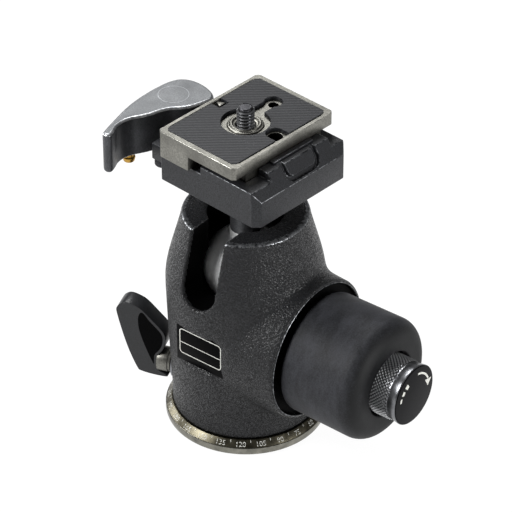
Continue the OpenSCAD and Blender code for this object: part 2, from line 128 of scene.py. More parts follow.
def textured_powder_paint():
    # Black wrinkle powder coat baked on a die casting: grains 0.5 to 0.7 mm across, with dull black
    # valleys and smoother dark grey crowns that catch the light
    mat, tree, shader, coords = start_material("black wrinkle powder coat on casting", 0.0, 0.4, 1.5, 0.38)
    grain = add_node(tree, "ShaderNodeTexNoise", {"Vector": coords}, i_Scale=1 / (0.48 * MM)).outputs[0]
    cells = add_node(tree, "ShaderNodeTexVoronoi", {"Vector": coords}, i_Scale=1 / (0.7 * MM))
    height = add_node(tree, "ShaderNodeMath", {0: cells.outputs["Distance"], 1: grain}, operation="ADD")
    finish_material(tree, shader, (grain, "#050506", "#242528", 0.38, 0.66), (grain, 0.75, 0.22),
                    (0.42, 0.58), (height.outputs[0], 0.2, 1.0))
    return mat


def speckled_clamp_paint():
    # Thin satin dark grey paint sprayed on a machined casting: a fine bright speckle 0.45 mm across
    mat, tree, shader, coords = start_material("satin grey speckle paint on aluminium", 0.0, 0.36, 1.5, 0.3)
    grain = add_node(tree, "ShaderNodeTexNoise", {"Vector": coords}, i_Scale=1 / (0.45 * MM)).outputs[0]
    finish_material(tree, shader, (grain, "#17181a", "#303135", 0.35, 0.75), (grain, 0.6, 0.26),
                    relief=(grain, 0.06, 0.7))
    return mat


def rubbed_edge(name, under, metal, patch_mm=1.6, low=0.42, high=0.6):
    """An edge bright in patches: its finish rubbed through to metal, and painted highlight where light
    catches it.
    """
    mat, tree, shader, coords = start_material(name, 0.8, 0.3)
    patches = add_node(tree, "ShaderNodeTexNoise", {"Vector": coords}, i_Scale=1 / (patch_mm * MM),
                       i_Detail=4.0, i_Roughness=0.6).outputs[0]
    finish_material(tree, shader, (patches, under, metal, low, high), (patches, 0.42, 0.28))
    return mat


def moulded_rubber():
    # Nitrile rubber moulded over the knob: matt black with faint streaks from handling, grey along its side,
    # and darker past the rounded shoulder onto its front, which is painted shade
    shoulder = (59 * MM, 64 * MM)
    mat, tree, shader, coords = start_material("matt moulded nitrile rubber", 0.0, 0.6, 1.45, 0.3)
    drawn_out = add_node(tree, "ShaderNodeMapping", {"Vector": coords}, i_Scale=(1.0, 0.45, 0.45))
    smears = add_node(tree, "ShaderNodeTexNoise", {"Vector": drawn_out.outputs[0]}, i_Scale=1 / (5 * MM),
                      i_Detail=6.0, i_Roughness=0.66).outputs[0]
    fine = add_node(tree, "ShaderNodeTexNoise", {"Vector": coords}, i_Scale=1 / (0.5 * MM)).outputs[0]
    along = add_node(tree, "ShaderNodeSeparateXYZ", {"Vector": coords})
    # painted shade: the tone darkens past the rounded shoulder, over the knob's front
    front_shade = add_node(tree, "ShaderNodeMapRange", {"Value": along.outputs["X"]}, i_From_Min=shoulder[0],
                    i_From_Max=shoulder[1], i_To_Min=1.0, i_To_Max=0.55)
    grime = add_node(tree, "ShaderNodeMath", {0: fine, 2: smears}, operation="MULTIPLY_ADD", i_1=0.5)
    grime_and_shade = add_node(tree, "ShaderNodeMath", {0: grime.outputs[0], 1: front_shade.outputs[0]}, operation="MULTIPLY")
    finish_material(tree, shader, (grime_and_shade.outputs[0], "#0d0e10", "#3a3b40", 0.45, 1.0),
                    (smears, 0.52, 0.68), relief=(fine, 0.06, 0.7))
    return mat


def turned_metal(name, dark, light, roughness, axis):
    """Metal turned on a lathe, with faint lines across its axis. Real lines are well under 0.5 mm apart;
    they are drawn 2.2 mm apart, because finer ones don't show."""
    mat, tree, shader, coords = start_material(name, 1.0, roughness)
    lines = add_node(tree, "ShaderNodeTexWave", {"Vector": coords}, wave_type="BANDS", bands_direction=axis,
                     i_Scale=WAVE_PERIOD / (2.2 * MM), i_Distortion=0.6, i_Detail=1.0).outputs["Fac"]
    blotch = add_node(tree, "ShaderNodeTexNoise", {"Vector": coords}, i_Scale=1 / (3 * MM),
                      i_Detail=3.0).outputs[0]
    finish_material(tree, shader, (blotch, dark, light, 0.3, 0.7),
                    (blotch, roughness - 0.05, roughness + 0.08), relief=(lines, 0.01, 0.35))
    return mat


def cast_metal(name, dark, light, roughness, grain_mm=0.6, metallic=1.0, depth_mm=0.02):
    """Blasted or tumbled metal: an even fine grain with slow changes of tone."""
    mat, tree, shader, coords = start_material(name, metallic, roughness)
    fine = add_node(tree, "ShaderNodeTexNoise", {"Vector": coords}, i_Scale=1 / (grain_mm * MM)).outputs[0]
    slow = add_node(tree, "ShaderNodeTexNoise", {"Vector": coords}, i_Scale=1 / (9 * MM),
                    i_Detail=3.0).outputs[0]
    mixed = add_node(tree, "ShaderNodeMath", {0: fine, 1: slow}, operation="MULTIPLY").outputs[0]
    finish_material(tree, shader, (mixed, dark, light, 0.12, 0.42),
                    (slow, roughness - 0.06, roughness + 0.08), relief=(fine, depth_mm, 0.5))
    return mat


def moulded_plastic(name, dark, light, roughness, grain_mm=0.45, depth_mm=0.015, level=0.35):
    """Injection-moulded plastic with a spark-eroded grain."""
    mat, tree, shader, coords = start_material(name, 0.0, roughness, 1.5, level)
    fine = add_node(tree, "ShaderNodeTexNoise", {"Vector": coords}, i_Scale=1 / (grain_mm * MM)).outputs[0]
    finish_material(tree, shader, (fine, dark, light, 0.3, 0.7),
                    (fine, roughness - 0.04, roughness + 0.06), relief=(fine, depth_mm, 0.5))
    return mat


def ribbed_pad_rubber():
    # Synthetic rubber sheet rolled with a fine diagonal rib: a dark satin weave. The real rib is near
    # 0.5 mm; it is drawn at 1.6 mm so that it shows
    mat, tree, shader, coords = start_material("ribbed grip rubber sheet", 0.0, 0.5, 1.5, 0.3)
    turned = add_node(tree, "ShaderNodeMapping", {"Vector": coords}, i_Rotation=(0, 0, math.radians(50)))
    ribs = add_node(tree, "ShaderNodeTexWave", {"Vector": turned.outputs[0]}, wave_type="BANDS",
                    bands_direction="X", i_Scale=WAVE_PERIOD / (1.6 * MM), i_Distortion=0.6).outputs["Fac"]
    fine = add_node(tree, "ShaderNodeTexNoise", {"Vector": coords}, i_Scale=1 / (0.7 * MM)).outputs[0]
    both = add_node(tree, "ShaderNodeMath", {0: ribs, 1: fine}, operation="MULTIPLY").outputs[0]
    finish_material(tree, shader, (both, "#1b1c1f", "#303135", 0.1, 0.7), relief=(both, 0.1, 0.8))
    return mat


def worn_crests(name, across, off_mm, low_mm, high_mm, dark, light):
    """Bare metal whose tone follows the distance from an axis: dark in the roots, bright on the crests."""
    mat, tree, shader, coords = start_material(name, 1.0, 0.28)
    apart = add_node(tree, "ShaderNodeSeparateXYZ", {"Vector": coords}).outputs
    off = add_node(tree, "ShaderNodeMath", {0: apart[across[1]]}, operation="SUBTRACT", i_1=off_mm * MM)
    flat = add_node(tree, "ShaderNodeCombineXYZ", {0: apart[across[0]], 1: off.outputs[0]})
    radius = add_node(tree, "ShaderNodeVectorMath", {0: flat.outputs[0]}, operation="LENGTH")
    crest = add_node(tree, "ShaderNodeMapRange", {"Value": radius.outputs["Value"]},
                     i_From_Min=low_mm * MM, i_From_Max=high_mm * MM)
    finish_material(tree, shader, (crest.outputs[0], dark, light, 0.05, 0.95))
    return mat


def printed_white():
    # Screen-printed white ink: flat, slightly uneven and a little warm
    mat, tree, shader, coords = start_material("white screen printing ink", 0.0, 0.6, 1.48)
    uneven = add_node(tree, "ShaderNodeTexNoise", {"Vector": coords}, i_Scale=1 / (0.5 * MM)).outputs[0]
    finish_material(tree, shader, (uneven, "#c4c4bc", "#e2e2dc", 0.3, 0.7))
    return mat


PAINT = textured_powder_paint()
CLAMP_PAINT = speckled_clamp_paint()
RUBBER = moulded_rubber()
PAD_RUBBER = ribbed_pad_rubber()
INK = printed_white()
# Gunmetal anodising on the turned rim of the base ring: a warm grey with a soft sheen
RING_METAL = turned_metal("gunmetal anodised turned aluminium", "#6a6962", "#8d8b82", 0.28, "Z")
# Dark bronze anodising on the ring's sloping band, which sets off the white scale
RING_BRONZE = turned_metal("dark bronze anodised turned aluminium", "#454238", "#625e50", 0.32, "Z")
# Nickel-plated brass of the friction dial, turned round its axis: a bright plain band
DIAL_METAL = turned_metal("nickel plated knurled brass", "#6a6b6e", "#8b8c8f", 0.3, "X")
# Nickel-plated knurl: grooves dark with grime and painted shade, crests bright with wear and painted
# highlight, so that the points stand out
KNURL_METAL = worn_crests("nickel plated knurl", "YZ", KNOB_AXIS_Z, 10.84, 11.1, "#161618", "#b6b7b9")
# Rolled thread of the camera screw: black oxide left in the roots, crests worn bright
THREAD_METAL = worn_crests("rolled screw thread", "XY", 0.0, 2.5, 3.1, "#0c0c0d", "#a2a3a6")
# Zinc-plated steel, turned: a cool mid grey
STEEL = turned_metal("zinc plated turned steel", "#707175", "#929397", 0.3, "Z")
STEEL_X = turned_metal("zinc plated steel shaft", "#707175", "#929397", 0.3, "X")
# Blackened screw steel: a dark grey that still shines
SCREW_STEEL = cast_metal("blackened screw steel", "#3c3c3f", "#68686c", 0.3, 0.5, 1.0, 0.01)
# Turned brass of the bushes and the safety catch: warm yellow
BRASS = turned_metal("turned bearing brass", "#a07a34", "#cfa552", 0.3, "Z")
# Polished ball: smooth, slightly clouded and pale
BALL_METAL = cast_metal("polished ball alloy", "#dcddde", "#f0f0f0", 0.3, 0.5, 0.3, 0.006)
# The ball's stem, dulled: rougher, and painted a dark satin grey as shade
STEM_SHADE_METAL = cast_metal("painted shade on the ball's stem", "#3d3e40", "#5c5d60", 0.42, 0.5, 0.6, 0.01)
# Nickel-grey blasted die casting: an even grain with a warm grey tone
PLATE_METAL = cast_metal("nickel blasted die cast plate", "#6c6b66", "#94938c", 0.42, 0.6, 1.0, 0.03)
# Satin gunmetal finish on the lever's top, which faces the light; its lighter tone is the lit one of the
# lever's two painted tones
LEVER_METAL = cast_metal("gunmetal blasted lever casting", "#5f6163", "#7f8183", 0.46, 0.5, 0.6, 0.02)
# The same finish on the lever's upright sides, painted darker as shade and a little smoother
LEVER_SIDE_SHADE = cast_metal("painted shade on the lever casting's upright sides", "#38393b", "#55565a", 0.4, 0.5, 0.5, 0.02)
# Etched ring on the lever: a pale line
BADGE_METAL = cast_metal("etched line of the badge", "#85878a", "#a8aaac", 0.4, 0.5, 0.6, 0.02)
# Edges where hands have rubbed each finish through to bright metal. On the clamp and the plate only edges
# that face up get it, so it is partly painted highlight; on the neck's lip it is painted highlight only
LEVER_EDGE = rubbed_edge("polished edge of the lever casting", "#8b8d90", "#b9babc")
CLAMP_EDGE = rubbed_edge("clamp paint rubbed at the edge", "#2c2d30", "#85878a", 1.3, 0.4, 0.66)
# A painted highlight on the neck's lip, where the powder coat meets the opening
LIP_HIGHLIGHT = rubbed_edge("painted highlight on the powder coat's lip", "#2c2d30", "#9a9c9f", 1.2, 0.35, 0.65)
PLATE_EDGE = rubbed_edge("bright edge of the die cast plate", "#7b7a74", "#aeada6")
# Black oxide steel: near black with a metal sheen
BLACK_METAL = cast_metal("black oxide steel", "#161617", "#2a2a2c", 0.36, 0.5, 0.7, 0.02)
# Painted shade: near black with next to no reflection, laid in hollows and recesses so that they read as deep
SHADE_BLACK = moulded_plastic("painted shade black in hollows", "#020202", "#050506", 0.6, 0.45, 0.01, 0.03)
# Black bearing polymer round the ball, a little oily
SEAT_POLYMER = moulded_plastic("black acetal bearing polymer", "#0c0c0d", "#161618", 0.42)
# Glass-filled nylon of the wing: black, with a soft shine on its rounded edges
WING_PLASTIC = moulded_plastic("black glass filled nylon", "#151618", "#222326", 0.34, 0.45, 0.02, 0.4)
# The dial's cap: flat black, so that the print reads
CAP_PLASTIC = moulded_plastic("black ABS cap", "#0c0c0e", "#131315", 0.38, 0.45, 0.01, 0.06)
# The label: smooth deep black film
LABEL_BLACK = moulded_plastic("black polyester label", "#040405", "#070708", 0.3, 1.2, 0.004, 0.03)


# ---------------------------------------------------------------- shaping helpers

FLAT_FACE_MM2 = 10      # a many-sided face larger than this is flat, and shaded so
LIT_EDGE_FACING_UP = 0.2         # the bright edge finish, wear and painted highlight, shows only where the normal's upward share is over this


def finish_piece(obj, body, material=None, replaces=(), crease=30):
    """Smooth shading up to an angle, the finish, and what it rides on and stands for."""
    if material is not None:
        obj.data.materials.clear()
        obj.data.materials.append(material)
    obj.data.shade_smooth()
    obj.data.set_sharp_from_angle(angle=math.radians(crease))
    for face in obj.data.polygons:
        if len(face.vertices) > 4 and face.area > FLAT_FACE_MM2 * MM * MM:
            face.use_smooth = False
    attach(obj, body)
    if replaces:
        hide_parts(*replaces)
    return obj


def new_object(name, data):
    """An object in the scene."""
    obj = bpy.data.objects.new(name, data)
    bpy.context.scene.collection.objects.link(obj)
    return obj


def mesh_object(name, verts_mm, faces, place=None):
    """A mesh from points in millimetres, with its normals made to point outwards."""
    mesh = bpy.data.meshes.new(name)
    mesh.from_pydata([Vector(v) * MM for v in verts_mm], [], faces)
    if place is not None:
        mesh.transform(place)
    bm = bmesh.new()
    bm.from_mesh(mesh)
    bmesh.ops.remove_doubles(bm, verts=bm.verts, dist=1e-6)
    bmesh.ops.recalc_face_normals(bm, faces=bm.faces)
    bm.to_mesh(mesh)
    bm.free()
    return new_object(name, mesh)


def baked(obj):
    """Applies an object's modifiers to its mesh."""
    made = bpy.data.meshes.new_from_object(obj.evaluated_get(bpy.context.evaluated_depsgraph_get()))
    made.name = obj.name
    obj.modifiers.clear()
    obj.data = made
    return obj


def merged_copy(name, node):
    """A copy of a CAD node's mesh with its loose triangles joined and flat areas made one face."""
    mesh = nodes[node].data.copy()
    bm = bmesh.new()
    bm.from_mesh(mesh)
    bmesh.ops.remove_doubles(bm, verts=bm.verts, dist=2e-6)
    bmesh.ops.dissolve_limit(bm, angle_limit=math.radians(0.6), verts=bm.verts, edges=bm.edges)
    bm.to_mesh(mesh)
    bm.free()
    mesh.materials.clear()
    return new_object(name, mesh)


def eased_copy(name, node, width_mm, material, slot, edge=None):
    """The CAD node's shape with its sharp edges eased. Edges that face up have their own finish, if any:
    wear, brightened as painted highlight.
    """
    obj = merged_copy(name, node)
    obj.data.materials.append(material)
    bevel = obj.modifiers.new("edges", "BEVEL")
    bevel.width, bevel.segments = width_mm * MM, 2
    bevel.limit_method, bevel.angle_limit = "ANGLE", math.radians(28)
    bevel.use_clamp_overlap = True
    if edge is not None:
        obj.data.materials.append(edge)
        bevel.material = 1
    baked(obj)
    # only edges that face up keep the edge finish, as painted highlight; the rest take the body's finish
    for face in obj.data.polygons:
        if face.normal.z < LIT_EDGE_FACING_UP:
            face.material_index = 0
    return finish_piece(obj, body_of[node], None, (node,), 35)


def revolved(name, profile_mm, steps, place=None):
    """A closed (radius, height) profile in millimetres spun around Z."""
    verts, faces = [], []
    count = len(profile_mm)
    for s in range(steps):
        a = 2 * math.pi * s / steps
        verts += [(r * math.cos(a), r * math.sin(a), z) for r, z in profile_mm]
    for s in range(steps):
        t = (s + 1) % steps
        for i in range(count):
            j = (i + 1) % count
            faces.append((s * count + i, s * count + j, t * count + j, t * count + i))
    return mesh_object(name, verts, faces, place)


def arc(cx, cy, r, a0, a1, steps):
    """Points of an arc, angles in degrees."""
    return [(cx + r * math.cos(math.radians(a0 + (a1 - a0) * i / steps)),
             cy + r * math.sin(math.radians(a0 + (a1 - a0) * i / steps))) for i in range(steps + 1)]


TO_X = Matrix.Translation((0, 0, KNOB_AXIS_Z * MM)) @ Matrix.Rotation(math.radians(90), 4, "Y")
ON_CLAMP = Matrix.Rotation(CLAMP_TURN, 4, "Z")
ON_PAN = Matrix.Rotation(PAN_TURN, 4, "Z")


# ---------------------------------------------------------------- camera, floor and light

LENS_MM = 210.9
CAMERA_AWAY = 1.0739        # metres from the point it is aimed at
RIGHT = Vector((0.7848, 0.6198, 0))
UP = Vector((-0.3599, 0.4557, 0.8141))
BACK = Vector((0.5046, -0.6389, 0.5807))
FLOOR_HALF, FLOOR_Z = 4000, -0.3     # millimetres
GLOW_SHARE = 0.9            # of the floor as it is seen; the rest keeps the object's shadow
GLOW_STRENGTH = 1.06        # over 1, to make up for that rest
SKY_STRENGTH = 0.15         # what the room gives the object

camera = new_object("camera", bpy.data.cameras.new("camera"))
bpy.context.scene.camera = camera
camera.data.lens = LENS_MM
camera.data.clip_start, camera.data.clip_end = 0.05, 20
aim = Vector((0, 0, 0.062)) + RIGHT * 0.003593 + UP * 0.004466
turn = Matrix((RIGHT.normalized(), UP.normalized(), BACK.normalized())).transposed().to_4x4()
camera.matrix_world = Matrix.Translation(aim + BACK.normalized() * CAMERA_AWAY) @ turn

# The floor is white paper that glows where it is looked at or mirrored, and takes the object's shadow
floor_mat, floor_tree, floor_shader, _ = start_material("matt white studio paper", 0.0, 0.9)
floor_shader.inputs["Base Color"].default_value = hex_linear("#eeeeee")
rays = add_node(floor_tree, "ShaderNodeLightPath").outputs
seen = add_node(floor_tree, "ShaderNodeMath", {0: rays["Is Camera Ray"], 1: rays["Is Glossy Ray"]},
                operation="MAXIMUM").outputs[0]
seen = add_node(floor_tree, "ShaderNodeMath", {0: seen, 1: rays["Is Transmission Ray"]},
                operation="MAXIMUM").outputs[0]
share = add_node(floor_tree, "ShaderNodeMath", {0: seen}, operation="MULTIPLY", i_1=GLOW_SHARE).outputs[0]
glow = add_node(floor_tree, "ShaderNodeEmission", i_Strength=GLOW_STRENGTH, i_Color=(1, 1, 1, 1))
mixed = add_node(floor_tree, "ShaderNodeMixShader",
                 {0: share, 1: floor_shader.outputs[0], 2: glow.outputs[0]})
floor_out = next(n for n in floor_tree.nodes if n.type == "OUTPUT_MATERIAL")
floor_tree.links.new(mixed.outputs[0], floor_out.inputs[0])
floor = mesh_object("floor", [(x * FLOOR_HALF, y * FLOOR_HALF, FLOOR_Z)
                              for x, y in ((-1, -1), (1, -1), (1, 1), (-1, 1))], [(0, 1, 2, 3)])
floor.data.materials.append(floor_mat)
bpy.context.scene.view_settings.view_transform = "Standard"

world = bpy.data.worlds.new("studio")
bpy.context.scene.world = world
world.use_nodes = True
sky = world.node_tree
sky.nodes.clear()
paths = add_node(sky, "ShaderNodeLightPath").outputs
plain = add_node(sky, "ShaderNodeBackground", i_Color=(1, 1, 1, 1), i_Strength=SKY_STRENGTH)
white = add_node(sky, "ShaderNodeBackground", i_Color=(1, 1, 1, 1), i_Strength=1.0)
pick = add_node(sky, "ShaderNodeMath", {0: paths["Is Camera Ray"], 1: paths["Is Transmission Ray"]},
                operation="MAXIMUM").outputs[0]
both = add_node(sky, "ShaderNodeMixShader", {0: pick, 1: plain.outputs[0], 2: white.outputs[0]})
add_node(sky, "ShaderNodeOutputWorld", {0: both.outputs[0]})


def soft_box(name, place, size, power):
    """A square lamp at place, aimed at the middle of the object. Metres and watts."""
    lamp = bpy.data.lights.new(name, "AREA")
    lamp.shape, lamp.size, lamp.energy = "SQUARE", size, power
    obj = new_object(name, lamp)
    obj.location = place
    obj.rotation_euler = (Vector((0, 0, 0.07)) - Vector(place)).to_track_quat("-Z", "Y").to_euler()


soft_box("key from the front left", (-0.52, -0.70, 0.70), size=0.35, power=9.5)
soft_box("rim from the right", (0.92, 0.05, 0.28), size=0.3, power=5.5)
soft_box("fill from the left", (-0.95, -0.20, 0.22), size=0.3, power=3)
soft_box("top", (-0.45, 0.32, 0.88), size=0.42, power=7)


# ---------------------------------------------------------------- housing

GRID = 0.62                 # voxel of the rebuilt casting
EASE_ROUNDS, FILLET_ROUNDS = 5, 90
FILLET_REACH = 8            # distance over which the fillet at the boss's corner dies away
FILLET_X = (6, 31.2)        # where that corner lies along the knob's axis
FILLET_OFF = (22, 24)       # and how far it is at least from the body's axis and from the knob's
BORE_X = (12.9, 24.5)       # where the piston's bore lies
BORE_R = 8.3                # just outside the bore's wall
BORE_OPENED = 1.05
TAPERS = ((61, 68, 0.16), (68, math.inf, 0.27))     # from a height to a height, and how fast it narrows
INSIDE_DEPTH = 1.5          # a face this far in from the outside belongs to the inside
SEAT_FLOOR_Z = 46           # below this the inside isn't seen
INSIDE_DOWN = 1.2           # the inside's painted shade stops this far under the neck's rim
LIP_DOWN, LIP_IN = 0.75, 1.1        # the neck's lip, painted bright as a highlight, down and in from its outer edge
RECESS_X, RECESS_IN = 29.5, 1.3     # past this x, and this far in from the boss's outside, too
INSIDE, LIP = 1, 2          # the casting's slots after its paint: painted shade inside, painted highlight on the lip


def softened_casting(name, node):
    """The casting's shape rebuilt on a fine grid and smoothed, so its joins run into each other.
    The corner where the knob's boss leaves the body is smoothed most, into a broad fillet."""
    obj = merged_copy(name, node)
    grid = obj.modifiers.new("grid", "REMESH")
    grid.mode, grid.voxel_size = "VOXEL", GRID * MM
    baked(obj)
    corner = obj.vertex_groups.new(name="boss corner")
    for v in obj.data.vertices:
        x, y, z = v.co.x / MM, v.co.y / MM, v.co.z / MM
        from_axis, from_body = math.hypot(y, z - KNOB_AXIS_Z), math.hypot(x, y)
        if FILLET_X[0] < x < FILLET_X[1] and from_body > FILLET_OFF[0] and from_axis > FILLET_OFF[1]:
            near = (max(0.0, 1 - abs(from_axis - BOSS_R) / FILLET_REACH)
                    * max(0.0, 1 - abs(from_body - WAIST_R) / FILLET_REACH))
            corner.add([v.index], min(1.0, 1.8 * near), "REPLACE")
    ease = obj.modifiers.new("ease", "SMOOTH")
    ease.factor, ease.iterations = 0.5, EASE_ROUNDS
    fillet = obj.modifiers.new("fillet", "SMOOTH")
    fillet.factor, fillet.iterations, fillet.vertex_group = 0.5, FILLET_ROUNDS, corner.name
    baked(obj)
    # The piston's bore is opened about its axis, its end wall with it. Its inner corner stays rounded.
    for v in obj.data.vertices:
        y, z = v.co.y, v.co.z - KNOB_AXIS_Z * MM
        if BORE_X[0] * MM < v.co.x < BORE_X[1] * MM and math.hypot(y, z) < BORE_R * MM:
            v.co.y, v.co.z = y * BORE_OPENED, z * BORE_OPENED + KNOB_AXIS_Z * MM
    return obj


def shell_radius(z):
    """Outside radius of the housing at a height."""
    return WAIST_R - sum(rate * max(0.0, min(z, end) - start) for start, end, rate in TAPERS)


casting = softened_casting("housing_casting", "housing")
for finish in (PAINT, SHADE_BLACK, LIP_HIGHLIGHT):
    casting.data.materials.append(finish)
rim_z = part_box("housing")[1].z / MM
# the inside of the neck and the boss's recess are painted black as shade; the neck's lip is painted bright as
# a highlight
for face in casting.data.polygons:
    x, y, z = (c / MM for c in face.center)
    from_body, from_axis = math.hypot(x, y), math.hypot(y, z - KNOB_AXIS_Z)
    if SEAT_FLOOR_Z < z < rim_z - INSIDE_DOWN and from_body < shell_radius(z) - INSIDE_DEPTH:
        face.material_index = INSIDE
    if x > RECESS_X and from_axis < BOSS_R - RECESS_IN:
        face.material_index = INSIDE
    if z > rim_z - LIP_DOWN and from_body > shell_radius(z) - LIP_IN:
        face.material_index = LIP
finish_piece(casting, "housing", None, ("housing",), 80)


def label_frame():
    """A black label plate with a thin printed frame and one rule across it."""
    eased_copy("label", "label_plate", 0.15, LABEL_BLACK, "label_black")
    lo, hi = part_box("label_plate")
    y = lo.y / MM - 0.015
    x0, x1 = lo.x / MM + 1.3, hi.x / MM - 0.7
    z0, z1 = lo.z / MM + 3.2, hi.z / MM - 1.1
    corner_r, line, half_rule, ink = 1.4, 0.35, 0.15, 0.02

    def outline(inset):
        corners = [(x1 - corner_r, z1 - corner_r, 0), (x0 + corner_r, z1 - corner_r, 90),
                   (x0 + corner_r, z0 + corner_r, 180), (x1 - corner_r, z0 + corner_r, 270)]
        return [p for cx, cz, a in corners for p in arc(cx, cz, corner_r - inset, a, a + 90, 6)]

    outer, inner = outline(0), outline(line)
    n = len(outer)
    rule_z = z0 + (z1 - z0) * 0.45
    verts = [(x, y, z) for x, z in outer + inner]
    verts += [(x0 + 0.3, y, rule_z - half_rule), (x1 - 0.3, y, rule_z - half_rule),
              (x1 - 0.3, y, rule_z + half_rule), (x0 + 0.3, y, rule_z + half_rule)]
    faces = [(i, (i + 1) % n, n + (i + 1) % n, n + i) for i in range(n)]
    faces.append((2 * n, 2 * n + 1, 2 * n + 2, 2 * n + 3))
    lines = mesh_object("label_lines", verts, faces)
    solid = lines.modifiers.new("ink", "SOLIDIFY")
    solid.thickness, solid.offset = ink * MM, 0
    finish_piece(baked(lines), "housing", INK)


label_frame()


# ---------------------------------------------------------------- scale ring

SCALE_ZERO = 64.3           # where the 0 stands, in degrees round the ring
NUMBER_STEP = 15
RING_R, RING_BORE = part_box("scale_ring")[1].x / MM, 25.7
SLOPE_FOOT, SLOPE_TOP = (RING_R - 0.35, 3.0), (27.35, 5.2)
INK_PROUD = 0.03


def ring_with_scale():
    """Turned ring with a dark sloping band, which has a number every 15 degrees."""
    side = [(RING_BORE, 0.2), (RING_R - 0.6, 0.2), (RING_R - 0.15, 0.35), (RING_R, 0.8), (RING_R, 2.6),
            (RING_R - 0.1, 2.9), (RING_R - 0.35, 3.02), (RING_BORE, 3.02)]
    finish_piece(revolved("scale_ring_side", side, 160), "base", RING_METAL, ("scale_ring",))
    slope = [(RING_BORE, 3.0), SLOPE_FOOT, (28.6, 3.9), SLOPE_TOP, (27.1, 5.25), (RING_BORE, 5.25)]
    finish_piece(revolved("scale_ring_slope", slope, 160), "base", RING_BRONZE)
    verts, faces = [], []
    for number in range(0, 360, NUMBER_STEP):
        curve = bpy.data.curves.new("number", "FONT")
        curve.body, curve.size, curve.offset = str(number), 2.6, -0.012
        curve.align_x, curve.resolution_u = "CENTER", 3
        words = new_object("number", curve)
        bpy.context.view_layer.update()
        flat = bpy.data.meshes.new_from_object(words.evaluated_get(bpy.context.evaluated_depsgraph_get()))
        start = len(verts)
        mid = math.radians(SCALE_ZERO - number)
        for v in flat.vertices:
            up_slope = 0.16 + v.co.y / 2.5 * 0.86
            r, z = (foot + (top - foot) * up_slope + INK_PROUD for foot, top in zip(SLOPE_FOOT, SLOPE_TOP))
            a = mid + v.co.x / 28.0
            verts.append((r * math.cos(a), r * math.sin(a), z))
        faces += [tuple(start + i for i in p.vertices) for p in flat.polygons]
        bpy.data.objects.remove(words)
        bpy.data.curves.remove(curve)
        bpy.data.meshes.remove(flat)
    finish_piece(mesh_object("scale_numbers", verts, faces), "base", INK)


ring_with_scale()


def geometry_tree(name, numbers):
    """An empty tree with these named number inputs and a finish. Returns it, its inputs' values and
    their identifiers."""
    tree = bpy.data.node_groups.new(name, "GeometryNodeTree")
    tree.interface.new_socket("Geometry", in_out="OUTPUT", socket_type="NodeSocketGeometry")
    names = {}
    for label, kind in {**numbers, "Finish": "NodeSocketMaterial"}.items():
        names[label] = tree.interface.new_socket(label, in_out="INPUT", socket_type=kind).identifier
    return tree, tree.nodes.new("NodeGroupInput").outputs, names


def made_by_tree(name, tree, names, values):
    """A mesh made by a tree with these values."""
    obj = new_object(name, bpy.data.meshes.new(name))
    mod = obj.modifiers.new("made", "NODES")
    mod.node_group = tree
    for label, value in values.items():
        mod[names[label]] = value
    return baked(obj)


def set_out(tree, count, where, shape, turned, finish):
    """Copies of a shape at these places and turns, as one real mesh in one finish."""
    points = add_node(tree, "GeometryNodeMeshLine", {"Count": count})
    moved = add_node(tree, "GeometryNodeSetPosition", {"Geometry": points.outputs[0], "Position": where})
    placed = add_node(tree, "GeometryNodeInstanceOnPoints",
                      {"Points": moved.outputs[0], "Instance": shape, "Rotation": turned})
    real = add_node(tree, "GeometryNodeRealizeInstances", {0: placed.outputs[0]})
    done = add_node(tree, "GeometryNodeSetMaterial", {"Geometry": real.outputs[0], "Material": finish})
    add_node(tree, "NodeGroupOutput", {0: done.outputs[0]})


def ring_marks_tree():
    """Marks repeated around Z, each a thin bar lying along the ring's slope."""
    tree, given, names = geometry_tree("marks around the ring", {
        "Count": "NodeSocketInt", "Radius": "NodeSocketFloat", "Height": "NodeSocketFloat",
        "Length": "NodeSocketFloat", "Width": "NodeSocketFloat", "Thickness": "NodeSocketFloat",
        "Lean": "NodeSocketFloat", "Start": "NodeSocketFloat"})
    index = add_node(tree, "GeometryNodeInputIndex").outputs[0]
    step = add_node(tree, "ShaderNodeMath", {1: given["Count"]}, operation="DIVIDE", i_0=2 * math.pi)
    angle = add_node(tree, "ShaderNodeMath", {0: index, 1: step.outputs[0], 2: given["Start"]},
                     operation="MULTIPLY_ADD").outputs[0]
    cos = add_node(tree, "ShaderNodeMath", {0: angle}, operation="COSINE")
    sin = add_node(tree, "ShaderNodeMath", {0: angle}, operation="SINE")
    x = add_node(tree, "ShaderNodeMath", {0: cos.outputs[0], 1: given["Radius"]}, operation="MULTIPLY")
    y = add_node(tree, "ShaderNodeMath", {0: sin.outputs[0], 1: given["Radius"]}, operation="MULTIPLY")
    where = add_node(tree, "ShaderNodeCombineXYZ", {0: x.outputs[0], 1: y.outputs[0], 2: given["Height"]})
    size = add_node(tree, "ShaderNodeCombineXYZ",
                    {0: given["Length"], 1: given["Width"], 2: given["Thickness"]})
    bar = add_node(tree, "GeometryNodeMeshCube", {"Size": size.outputs[0]})
    turned = add_node(tree, "ShaderNodeCombineXYZ", {1: given["Lean"], 2: angle})
    set_out(tree, given["Count"], where.outputs[0], bar.outputs[0], turned.outputs[0], given["Finish"])
    return tree, names


marks = made_by_tree("scale_marks_fine", *ring_marks_tree(), {
    "Count": 360 // NUMBER_STEP, "Radius": 27.75 * MM, "Height": 4.80 * MM, "Length": 0.9 * MM,
    "Width": 0.18 * MM, "Thickness": 0.04 * MM, "Start": math.radians(SCALE_ZERO + NUMBER_STEP / 2),
    "Lean": math.atan2(SLOPE_TOP[1] - SLOPE_FOOT[1], SLOPE_FOOT[0] - SLOPE_TOP[0]), "Finish": INK})
finish_piece(marks, "base")


# ---------------------------------------------------------------- knobs

